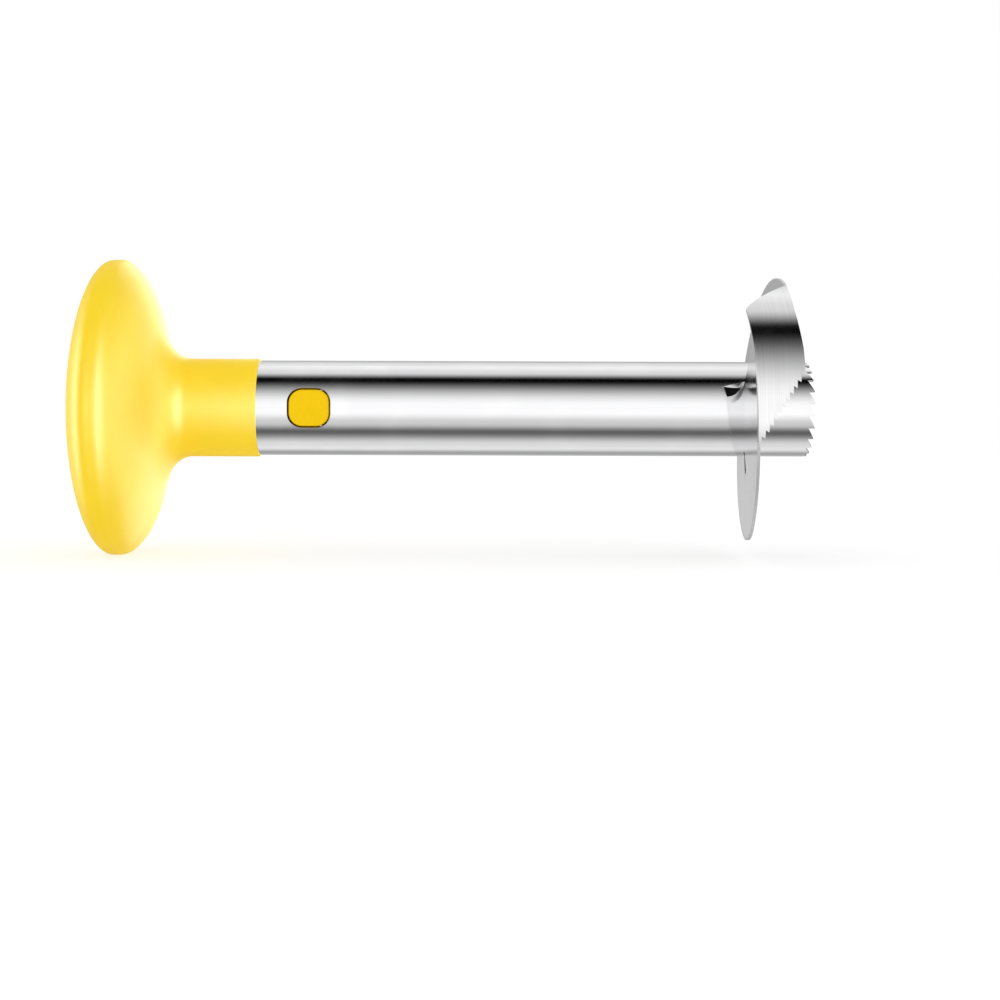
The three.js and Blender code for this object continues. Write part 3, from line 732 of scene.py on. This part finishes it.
# The weld between blade and tube, from the slit on: an ellipse carried along the helix, with ripples.
def makeBladeWeld():
    ends = blade["slitAngle"] + blade["weldStart"], blade["endAngle"] - blade["weldEnd"]
    angle = np.linspace(*ends, blade["weldSteps"])
    share = (angle - angle[0]) / (angle[-1] - angle[0])
    ripples = 1 + blade["weldRippleShare"] * np.sin(share * blade["weldRipples"] * 2 * math.pi)
    size = (np.sqrt(np.clip(np.sin(share * math.pi) * blade["weldRunOut"], 0, 1)) * ripples)[:, None]
    around = np.linspace(0, 2 * math.pi, blade["weldSides"], endpoint=False)
    x = bladeX(angle, 0)[:, None] + blade["weldWidth"] * size * np.cos(around)
    radius = tube["radius"] + blade["weldHeight"] * size * np.sin(around)
    points = aroundAxis(x, angle[:, None], radius)
    quads = gridQuads(angle.size, around.size, False, True)
    piece = makePiece("blade_weld", points, quads, weldSteel, sharp["weld"])
    place(piece, "cutter", "blade_steel")


# The peel band is laid out by a share across it, from the blade to its free edge, and a share along it,
# from its slanted end to its teeth. The teeth are stairs whose tips hook forward. Beside the blade its
# radius falls along an arc, because the band is folded up from the blade's sheet. The arc fades out
# towards the slanted end.
def makePeelBand():
    tooth = np.arange(band["teeth"] + 1)
    knots = np.stack([tooth, tooth + band["flatShare"]], axis=1).ravel()[:-1] / band["teeth"]
    stairs = np.stack([tooth, tooth - band["hookShare"] + 1], axis=1).ravel()[:-1]
    stairs = np.where(np.arange(stairs.size) % 2 == 1, stairs - 1, stairs) / band["teeth"]
    turned = math.sin(math.radians(band["foldAngle"]))
    bend = band["fold"] * turned * np.linspace(0, 1, band["foldSteps"])
    bendShares = bend / (band["endX"] - bladeX(band["toothLeft"]))
    across = [knots + shift * np.append(np.diff(knots), 0) for shift in band["quarters"]]
    across = np.unique(np.concatenate([*across, bendShares]))
    climb = np.interp(across, knots, stairs)
    low = band["toothLeft"] + (band["toothRight"] - band["toothLeft"]) * climb
    high = band["topLeft"] + (band["topRight"] - band["topLeft"]) * across ** band["topBendShare"]
    along = np.linspace(0, 1, band["rows"]) ** band["rowPower"]
    angle = high[:, None] + (low - high)[:, None] * along
    lean = band["lean"] * np.clip((band["leanEnd"] - angle) / (band["leanEnd"] - band["leanTop"]), 0, 1)
    start = bladeX(np.maximum(blade["startAngle"], angle)) - blade["wall"] / 2 - lean
    end = band["endX"] + band["skew"] * along - lean
    x = start + (end - start) * across[:, None]
    left = np.radians(low[:, None] - angle) * blade["radius"] / band["grind"]
    wall = band["wall"] * (band["edgeShare"] + (1 - band["edgeShare"]) * np.clip(left, 0, 1))
    near = np.clip(turned - (x - start) / band["fold"], 0, 1)
    grown = np.clip((angle - band["foldFrom"]) / (band["foldFull"] - band["foldFrom"]), 0, 1)
    bent = blade["radius"] - band["fold"] * grown * (1 - np.sqrt(1 - near ** 2))
    outer = aroundAxis(x, angle, bent).reshape(-1, 3)
    inner = aroundAxis(x, angle, blade["radius"] - wall).reshape(-1, 3)
    points, faces = sheetSolid(outer, inner, gridQuads(across.size, along.size, False, False))
    marks = {"ground": np.tile((left < 1).astype(float).ravel(), 2)}
    piece = makePiece("peel_band", points, faces, bladeSteel, marks=marks)
    place(piece, "cutter", "blade_steel", "peel_cutter")


makeBladePlate()
makeBladeWeld()
makePeelBand()
print("cutter: blade, weld and peel band made")


# Snap buttons: a rounded pad whose face follows the tube, on a tongue with a peg for the spring
button = {
    "gap": 0.52, "recess": 0.25, "depth": 5.4, "edge": 0.5, "points": 24, "faceRings": 11, "edgeRings": 6,
    "tongueDistance": 12.2, "tongueWall": 1.6, "tongueWidth": 9, "tongueEnd": 80.4, "tongueCorner": 0.4,
    "tonguePoints": 8, "tongueTipShare": 0.93, "pegRadius": 2, "pegLength": 2, "pegTipShare": 0.8,
    "taper": 0.3, "around": 40,
}


# A rounded rectangle, from evenly spaced points round the square between -1 and 1
def padOutline(half, corner, count):
    side = np.linspace(-1, 1, count, endpoint=False)
    u = np.concatenate([side, np.ones(count), -side, -np.ones(count)])
    v = np.concatenate([-np.ones(count), side, np.ones(count), -side])
    return roundedRectangle(u, v, half, corner)


# One list of points and one of quads from several grids whose columns close into rings
def joinRings(grids):
    starts = np.cumsum([0] + [grid.shape[0] * grid.shape[1] for grid in grids])
    quads = [gridQuads(*grid.shape[:2], False, True) + start for grid, start in zip(grids, starts)]
    return np.concatenate([grid.reshape(-1, 3) for grid in grids]), np.concatenate(quads)


def makeButton(name, node, body, side):
    half = np.array([tube["windowLength"], tube["windowHeight"]]) / 2 - button["gap"]
    corner = tube["windowCorner"] - button["gap"]
    centre, away = padOutline(half, corner, button["points"])
    face = tube["radius"] - button["recess"]
    bottom = face - button["depth"]
    middle, taper = tube["windowX"], button["taper"]
    # Rings of the head: from the middle of the face out, round its edge, down the side and in again
    inner, bend = button["faceRings"], button["edgeRings"]
    turn = np.linspace(0, math.pi / 2, bend)
    scale = np.concatenate([np.linspace(0, 1, inner + 1)[:-1], np.ones(bend + 1), np.linspace(1, 0, bend)])
    inset = button["edge"] * np.concatenate([np.ones(inner), 1 - np.sin(turn), np.zeros(bend + 1)])
    sink = button["edge"] * np.concatenate([np.zeros(inner), 1 - np.cos(turn), np.zeros(bend + 1)])
    flat = (centre + away * (corner - inset[:, None, None])) * scale[:, None, None]
    depth = np.sqrt(face ** 2 - flat[..., 1] ** 2) - sink[:, None]
    depth[-bend - 1:] = bottom
    head = fromAxis(middle + flat[..., 0], side * depth, flat[..., 1])
    # The tongue: a rounded bar along x, closed by rings that shrink to a point
    barHalf = np.array([button["tongueWall"], button["tongueWidth"]]) / 2
    barCentre, barAway = padOutline(barHalf, button["tongueCorner"], button["tonguePoints"])
    barEnd = button["tongueEnd"]
    barX = np.array([middle, middle, barEnd - taper, barEnd, barEnd])[:, None]
    barSize = np.array([0, 1, 1, button["tongueTipShare"], 0])[:, None, None]
    section = (barCentre + barAway * button["tongueCorner"]) * barSize
    bar = fromAxis(barX, side * (button["tongueDistance"] + section[..., 0]), section[..., 1])
    # The peg: a turned stub on the button's inner side
    angle = np.linspace(0, 2 * math.pi, button["around"], endpoint=False)
    root, pegEnd = bottom + taper, bottom - button["pegLength"]
    pegY = np.array([root, root, pegEnd + taper, pegEnd, pegEnd])[:, None]
    pegR = np.array([0, 1, 1, button["pegTipShare"], 0])[:, None] * button["pegRadius"]
    peg = fromAxis(middle + pegR * np.cos(angle), side * pegY, pegR * np.sin(angle))
    piece = makePiece(name, *joinRings([head, bar, peg]), buttonPlastic)
    place(piece, body, "button_plastic", node)


makeButton("snap_front", "button_front", "front_snap", -1)
makeButton("snap_rear", "button_rear", "rear_snap", 1)
print("buttons: two made")


# Coil spring between the buttons: a wire along a helix across the tool, with closer end turns
spring = {"radius": 3.2, "wire": 0.8, "curls": 7, "endShare": 0.07, "stepsPerCurl": 44, "sides": 12}


def makeSpringCoil():
    reach = tube["radius"] - button["recess"] - button["depth"] - fit["clearance"] - spring["wire"] / 2
    t = np.linspace(0, 1, spring["curls"] * spring["stepsPerCurl"] + 1)
    lone = 1 / spring["curls"]
    rise = np.interp(t, [0, lone, 1 - lone, 1], [0, spring["endShare"], 1 - spring["endShare"], 1])
    angle = t * spring["curls"] * 2 * math.pi
    outward = np.stack([np.cos(angle), np.zeros_like(angle), np.sin(angle)], 1)
    centre = spring["radius"] * outward
    centre[:, 1] = reach * (2 * rise - 1)
    beside = np.cross(directions(np.gradient(centre, axis=0)), outward)
    # A ring of no size at each end closes the wire
    ends = np.r_[0, np.arange(t.size), t.size - 1]
    centre, outward, beside = centre[ends], outward[ends], beside[ends]
    thick = np.concatenate([[0], np.full(t.size, spring["wire"] / 2), [0]])
    turn = np.linspace(0, 2 * math.pi, spring["sides"], endpoint=False)
    ring = outward[:, None] * np.cos(turn)[:, None] + beside[:, None] * np.sin(turn)[:, None]
    spots = centre[:, None] + ring * thick[:, None, None]
    points = fromAxis(tube["windowX"] + spots[..., 0], spots[..., 1], spots[..., 2])
    quads = gridQuads(*points.shape[:2], False, True)
    piece = makePiece("spring_coil", points, quads, springSteel, sharp["wire"])
    place(piece, "handle", "spring_steel", "button_spring")


makeSpringCoil()
print("spring: made")


# Plug, screw and washer: merged copies of the frame's solids with their edges eased
eased = {
    "spigot_plug": ("spigot", plugPlastic, "inner_plastic", 0.25),
    "fixing_screw": ("spigot_screw", zincSteel, "zinc_steel", 0.12),
    "thrust_washer": ("screw_washer", zincSteel, "zinc_steel", 0.1),
}
easing = {"merge": 0.01, "flatAngle": 1, "edgeAngle": 40, "segments": 2}


def makeEased(name, node, material, slotName, width):
    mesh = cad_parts[node].data.copy()
    mesh.name = name
    work = bmesh.new()
    work.from_mesh(mesh)
    bmesh.ops.remove_doubles(work, verts=work.verts, dist=easing["merge"] * mm)
    flat = math.radians(easing["flatAngle"])
    bmesh.ops.dissolve_limit(work, angle_limit=flat, verts=work.verts, edges=work.edges)
    work.to_mesh(mesh)
    work.free()
    piece = showMesh(name, mesh, material)
    bevel = piece.modifiers.new("eased", "BEVEL")
    bevel.width = width * mm
    bevel.segments = easing["segments"]
    bevel.limit_method = "ANGLE"
    bevel.angle_limit = math.radians(easing["edgeAngle"])
    place(piece, "handle", slotName, node)


for name, (node, material, slotName, width) in eased.items():
    makeEased(name, node, material, slotName, width)
print("plug, screw and washer: made")


# Studio: pale floor, soft lamps, and a world that is white to the camera. In gloss the world is a
# bright surround with soft dark flags above and below the front, as round a polished tube in a studio.
studio = {
    "fill": 0.96, "floorSize": 60, "floorWhite": 0.4, "floorGlow": 0.64, "floorBounce": 0.6,
    "sideStart": 0.45, "sideEnd": 0.8,
    # beside the tool: height of the direction and its brightness
    "sides": [(-1, 0.3), (-0.2, 0.36), (0, 0.5), (0.15, 0.62), (0.5, 1.0), (1, 0.7)],
    # direction in the plane across the tool, in degrees from the front over the top, and its brightness
    "surround": [
        (-180, 0.64), (-138, 0.42), (-114, 0.95), (-98, 0.86), (-59, 0.14), (-35, 0.74), (-9, 1.22),
        (7, 1.2), (70.3, 0.0), (75.3, 0.0), (97, 0.85), (118, 1.06), (141, 0.84), (162, 0.46), (180, 0.46),
    ],
}
# Soft lamps: the key shapes every piece, the others only put a sheen on the yellow plastic.
lamps = {
    "key": {"place": (-0.35, -1.2, 0.75), "size": (1.0, 0.8), "power": 1.4, "sheen": False},
    "face_box": {"place": (-0.25, -1.3, 0.05), "size": (0.8, 0.6), "power": 20.0, "sheen": True},
    "face_strip": {"place": (0.6, -1.1, 0.0), "size": (0.6, 1.9), "power": 215.0, "sheen": True},
    "right_box": {"place": (1.1, 0.0, 0.0), "size": (2.2, 1.2), "power": 66.0, "sheen": True},
    "left_strip": {"place": (-1.15, 0.15, 0.05), "size": (0.4, 1.0), "power": 28.0, "sheen": True},
    "low_box": {"place": (0.5, 1.1, -0.35), "size": (0.6, 0.6), "power": 5.2, "sheen": True},
    "back_box": {"place": (0.1, 1.2, 0.35), "size": (0.45, 1.0), "power": 10.0, "sheen": True},
}


def makeFloor():
    material, wire = newMaterial("floor_white")
    seen = wire.node("ShaderNodeLightPath", output="Is Camera Ray")
    matt = wire.node("ShaderNodeBsdfDiffuse", None, {"Color": (*[studio["floorWhite"]] * 3, 1)})
    lit = []
    for strength in (studio["floorBounce"], studio["floorGlow"]):
        glow = wire.node("ShaderNodeEmission", None, {"Strength": strength})
        lit.append(wire.node("ShaderNodeAddShader", None, {0: matt, 1: glow}))
    shown = wire.node("ShaderNodeMixShader", None, {0: seen, 1: lit[0], 2: lit[1]})
    wire.node("ShaderNodeOutputMaterial", None, {"Surface": shown})
    half = studio["floorSize"] / 2
    mesh = bpy.data.meshes.new("floor")
    corners = [(-half, -half, 0), (half, -half, 0), (half, half, 0), (-half, half, 0)]
    mesh.from_pydata(corners, [], [(0, 1, 2, 3)])
    mesh.materials.append(material)
    floor = bpy.data.objects.new("floor", mesh)
    bpy.context.scene.collection.objects.link(floor)
    floor.visible_glossy = False


def lightWorld():
    world = bpy.data.worlds.new("studio")
    bpy.context.scene.world = world
    world.use_nodes = True
    world.node_tree.nodes.clear()
    wire = Wire(world.node_tree)
    x, y, z = wire.node("ShaderNodeTexCoord", output="Generated").parts()
    turn = wire.maths("ARCTAN2", z, -1 * y) / (2 * math.pi) + 0.5
    stops = [((angle + 180) / 360, float(level)) for angle, level in studio["surround"]]
    surround = wire.node("ShaderNodeValToRGB", {"stops": stops}, {0: turn})
    aside = wire.maths("ABSOLUTE", x).climb(studio["sideStart"], studio["sideEnd"])
    sideStops = [((height + 1) / 2, float(level)) for height, level in studio["sides"]]
    sides = wire.node("ShaderNodeValToRGB", {"stops": sideStops}, {0: (z + 1) / 2})
    seen = wire.node("ShaderNodeLightPath", output="Is Camera Ray")
    glossy = wire.node("ShaderNodeLightPath", output="Is Glossy Ray")
    white = {"Color": (1, 1, 1, 1), "Strength": seen * (1 - studio["fill"]) + studio["fill"]}
    plain = wire.node("ShaderNodeBackground", None, white)
    inGloss = wire.node("ShaderNodeBackground", None, {"Color": aside.blend(surround, sides)})
    shown = wire.node("ShaderNodeMixShader", None, {0: glossy, 1: plain, 2: inGloss})
    wire.node("ShaderNodeOutputWorld", None, {"Surface": shown})


def addLamp(name, place, size, power, sheen):
    lamp = bpy.data.lights.new(name, "AREA")
    lamp.shape = "RECTANGLE"
    lamp.size, lamp.size_y = size
    lamp.energy = power
    rig = bpy.data.objects.new(name, lamp)
    rig.location = place
    aim = np.array([0, 0, axisHeight]) - np.array(place)
    tilt = math.acos(aim[2] / np.linalg.norm(aim)) - math.pi
    rig.rotation_euler = (tilt, 0, math.atan2(aim[1], aim[0]) + math.pi / 2)
    rig.visible_camera = False
    rig.visible_glossy = sheen
    rig.visible_diffuse = not sheen
    if sheen:
        rig.light_linking.receiver_collection = sheenPieces
        rig.light_linking.blocker_collection = sheenBlockers
    bpy.context.scene.collection.objects.link(rig)


# The sheen lamps reach the handle alone, past the floor and past everything but a screw deep inside.
sheenPieces = bpy.data.collections.new("sheen_pieces")
sheenBlockers = bpy.data.collections.new("sheen_blockers")
for name in ("handle_shell", "knob_lid"):
    sheenPieces.objects.link(bpy.data.objects[name])
sheenBlockers.objects.link(bpy.data.objects["fixing_screw"])
makeFloor()
lightWorld()
for name, lamp in lamps.items():
    addLamp(name, **lamp)
bpy.context.scene.view_settings.view_transform = "Standard"
print("studio: floor, world and lamps set")
